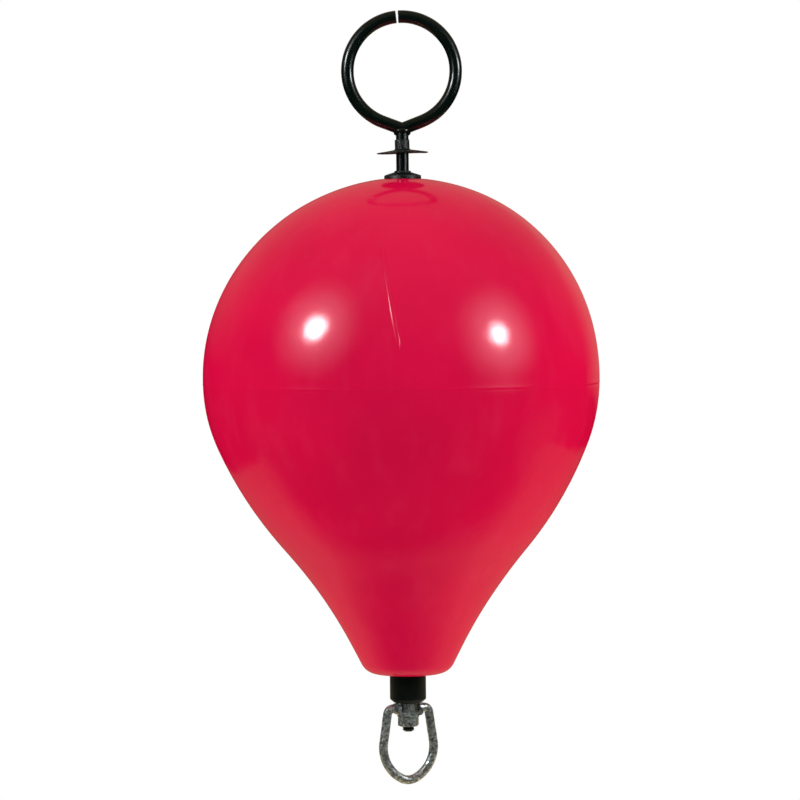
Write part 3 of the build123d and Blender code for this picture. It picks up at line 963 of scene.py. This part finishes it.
float_skin(vinyl)
dipped_ring(coat)
dipped_rod(coat)
weld_bead(coat)
rubber_disc(rubber)
crown_grommet(rubber)
nose_bush(polyethylene)
hex_nut(zinc)
zinc_yoke(zinc)
zinc_bail(zinc)
for name, outer, inner, edge, finish, body, slot, replaced in [
    ("black_sleeve", TUBE_RADIUS, TUBE_BORE, 0.6 * MM, polyethylene, "float", "black_plastic", "centre_tube"),
    ("zinc_collar", COLLAR_RADIUS, THREAD_HOLE, 0.6 * MM, zinc, "rod", "galvanised_steel", "thrust_collar"),
    ("zinc_washer", WASHER_RADIUS, THREAD_HOLE, 0.4 * MM, zinc, "rod", "galvanised_steel", "washer"),
]:
    foot, top = (corner.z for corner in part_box(replaced))
    turned_ring(name, outer, inner, top, foot, edge, finish, body, replaced)


# Studio: pale floor, white behind, two round lamps, and walls and a table that only the gloss sees
AMBIENT = 0.8
FLOOR_HEIGHT = -1.25
FLOOR_REACH = 2.2
WARM_LIGHT = "#FFE3B4"
WALL_LIGHT = "#FFE8C6"
WALL_REACH = 6
OVERHEAD_GLOW = 0.28
BACK_GLOW = 0.42
FAR_RIGHT = (0.4, 0.92, 0)
TABLE_HEIGHT = -0.6
TABLE_REACH = 4
TABLE_MIDDLE = 0.12
TABLE_HALF_WIDTH = 1.14
TABLE_EDGE = 0.06
TABLE_DARK_TO = -0.25
TABLE_LIT_FROM = -0.03
TABLE_FLARE = 0.25
TABLE_GLOW = 1.15
LAMP_LIGHT = "#F6FAFF"
LAMP_WIDTH = 0.34
LAMP_HEAT = 50
HALO_GLOW = 6
HALO_REACH = 1.0


def add_disc(name, radius, place, finish):
    bpy.ops.object.select_all(action="DESELECT")
    bpy.ops.mesh.primitive_circle_add(vertices=96, radius=radius, fill_type="NGON", location=place)
    disc = bpy.context.object
    disc.name = name
    disc.data.materials.append(finish)
    return disc


def only_gloss_sees(piece):
    piece.visible_camera = False
    piece.visible_diffuse = False
    piece.visible_shadow = False
    piece.visible_transmission = False


def studio_floor():
    """A pale floor well under the buoy that takes its shadow, fades out, and isn't in the way from below."""
    finish, tree, place = new_finish("pale_studio_floor")
    tone = blend(tree, noise(tree, place, 30, 4), "#E4E4E4", "#EAEAEA")
    matt = add_node(tree, "ShaderNodeBsdfDiffuse", {}, {"Color": tone})
    clear = add_node(tree, "ShaderNodeBsdfTransparent", {}, {})
    fade = ramp(tree, length_of(tree, place), FLOOR_REACH * 0.5, FLOOR_REACH)
    side = add_node(tree, "ShaderNodeNewGeometry", {}, {})
    unseen = reckon(tree, "MAXIMUM", fade, side.outputs["Backfacing"])
    both = add_node(tree, "ShaderNodeMixShader", {}, {0: unseen, 1: matt.outputs[0], 2: clear.outputs[0]})
    give_surface(tree, both)
    floor = add_disc("studio_floor", FLOOR_REACH, (0, 0, FLOOR_HEIGHT), finish)
    floor.visible_glossy = False


def glow_disc(name, finish, tree, tint, glow, place, aim, radius):
    """A clear disc that gives off light where its pattern says so, and that only gloss sees."""
    lit = add_node(tree, "ShaderNodeEmission", {"Color": colour(tint)}, {"Strength": glow})
    clear = add_node(tree, "ShaderNodeBsdfTransparent", {}, {})
    give_surface(tree, add_node(tree, "ShaderNodeAddShader", {}, {0: lit.outputs[0], 1: clear.outputs[0]}))
    disc = add_disc(name, radius, place, finish)
    disc.rotation_mode = "QUATERNION"
    disc.rotation_quaternion = Vector((0, 0, 1)).rotation_difference(Vector(aim) - Vector(place))
    only_gloss_sees(disc)


def lit_table():
    """A lit table top under the buoy: dark in front, bright beside it, far back between straight sides."""
    finish, tree, place = new_finish("lit_table_top")
    axes = axes_of(tree, place)
    aside = reckon(tree, "ABSOLUTE", reckon(tree, "ADD", axes["X"], -TABLE_MIDDLE))
    depth = reckon(tree, "MULTIPLY_ADD", aside, -TABLE_FLARE, axes["Y"])
    front = ramp(tree, depth, TABLE_DARK_TO, TABLE_LIT_FROM)
    sides = ramp(tree, aside, TABLE_HALF_WIDTH - TABLE_EDGE, TABLE_HALF_WIDTH, TABLE_GLOW, 0.0)
    fall = reckon(tree, "MULTIPLY_ADD", length_of(tree, place), 2.0, 1.0)
    glow = reckon(tree, "DIVIDE", reckon(tree, "MULTIPLY", front, sides), fall)
    glow_disc("lit_table", finish, tree, WARM_LIGHT, glow, (0, 0, TABLE_HEIGHT), (0, 0, 0), TABLE_REACH)


def lamp_face(name, place, aim, core):
    """What gloss sees of a lamp: a hot middle with a soft edge, and a halo on its diffuser."""
    finish, tree, spot = new_finish("lamp_diffuser")
    away = length_of(tree, spot)
    middle = ramp(tree, away, 0.45 * core, 1.45 * core, LAMP_HEAT, 0.0, "SMOOTHSTEP")
    halo = reckon(tree, "POWER", ramp(tree, away, 0.0, HALO_REACH, 1.0, 0.0), 2.0)
    glow = reckon(tree, "MULTIPLY_ADD", halo, HALO_GLOW, middle)
    glow_disc(name, finish, tree, LAMP_LIGHT, glow, place, aim, HALO_REACH)


def studio_walls():
    """A dim room that only gloss sees: dark in front and on the left, lighter above, behind and right."""
    finish, tree, place = new_finish("dim_studio_wall")
    way = add_node(tree, "ShaderNodeVectorMath", {"operation": "NORMALIZE"}, {0: place}).outputs[0]
    axes = axes_of(tree, way)
    overhead = ramp(tree, axes["Z"], 0.25, 0.9, 0.0, OVERHEAD_GLOW)
    back = ramp(tree, axes["Y"], 0.2, 0.95, 0.0, BACK_GLOW)
    rise = ramp(tree, axes["Z"], 0.03, 0.3)
    corner = add_node(tree, "ShaderNodeVectorMath", {"operation": "DOT_PRODUCT", 1: FAR_RIGHT}, {0: way})
    right = ramp(tree, corner.outputs["Value"], 0.9, 1.0, 0.0, BACK_GLOW)
    above = ramp(tree, axes["Z"], -0.1, -0.02)
    top_and_back = reckon(tree, "MULTIPLY_ADD", back, rise, overhead)
    glow = reckon(tree, "MULTIPLY_ADD", right, above, top_and_back)
    dim = add_node(tree, "ShaderNodeEmission", {"Color": colour(WALL_LIGHT)}, {"Strength": glow})
    give_surface(tree, dim)
    bpy.ops.object.select_all(action="DESELECT")
    bpy.ops.mesh.primitive_uv_sphere_add(segments=48, ring_count=24, radius=WALL_REACH, location=(0, 0, 0))
    walls = bpy.context.object
    walls.name = "studio_walls"
    walls.data.materials.append(finish)
    only_gloss_sees(walls)


def studio_sky():
    """White for the eye and for gloss, a little dimmer as light on matt surfaces."""
    world = bpy.data.worlds.new("white_studio")
    world.use_nodes = True
    tree = world.node_tree
    tree.nodes.clear()
    path = add_node(tree, "ShaderNodeLightPath", {}, {}).outputs
    seen = reckon(tree, "MAXIMUM", path["Is Camera Ray"], path["Is Glossy Ray"])
    seen_through = reckon(tree, "MAXIMUM", seen, path["Is Transmission Ray"])
    level = ramp(tree, seen_through, 0.0, 1.0, AMBIENT, 1.0)
    sky = add_node(tree, "ShaderNodeBackground", {"Color": (1, 1, 1, 1)}, {"Strength": level})
    add_node(tree, "ShaderNodeOutputWorld", {}, {"Surface": sky.outputs[0]})
    world.cycles.sampling_method = "NONE"
    bpy.context.scene.world = world


def round_lamp(name, tint, place, aim, across, power):
    """A lamp for matt surfaces; gloss sees its face instead."""
    bpy.ops.object.light_add(type="AREA", location=place)
    lamp = bpy.context.object
    lamp.name = name
    lamp.data.shape = "DISK"
    lamp.data.size = across
    lamp.data.energy = power
    lamp.data.color = colour(tint)[:3]
    lamp.visible_camera = False
    lamp.visible_glossy = False
    lamp.rotation_mode = "QUATERNION"
    lamp.rotation_quaternion = (Vector(aim) - Vector(place)).to_track_quat("-Z", "Y")


studio_floor()
lit_table()
studio_walls()
studio_sky()
for name, place, aim, core, power in [
    ("left", (-1.264, -1.009, 0.78), (-0.1, -0.2, 0.06), 0.185, 7.1),
    ("right", (1.422, -0.913, 0.61), (0.1, -0.2, 0.05), 0.16, 6.3),
]:
    round_lamp(name + "_lamp", LAMP_LIGHT, place, aim, LAMP_WIDTH, power)
    lamp_face(name + "_lamp_face", place, aim, core)
for name, place, aim, across, power in [
    ("top_fill", (0, 0.2, 1.9), (0, 0, 0), 1.2, 6),
    ("low_left_fill", (-1.7, 0.1, -0.95), (0, 0, -0.2), 0.9, 8),
    ("low_right_fill", (1.7, 0.1, -0.85), (0, 0, -0.2), 0.9, 11),
]:
    round_lamp(name, WARM_LIGHT, place, aim, across, power)

# Camera: far off and a little above the float's middle, as the photograph was taken
CAMERA_PLACE = (-0.0059, -3.8, 0.1186)
CAMERA_AIM = (-0.0059, 0, -0.0254)
CAMERA_ROLL = 0.6
CAMERA_LENS = 144.2
SENSOR_WIDTH = 36
bpy.ops.object.camera_add(location=CAMERA_PLACE)
camera = bpy.context.object
camera.data.sensor_width = SENSOR_WIDTH
camera.data.lens = CAMERA_LENS
camera.rotation_mode = "QUATERNION"
look = (Vector(CAMERA_AIM) - Vector(CAMERA_PLACE)).to_track_quat("-Z", "Y")
camera.rotation_quaternion = look @ Matrix.Rotation(radians(-CAMERA_ROLL), 3, "Z").to_quaternion()
bpy.context.scene.camera = camera
bpy.context.scene.view_settings.view_transform = "Standard"
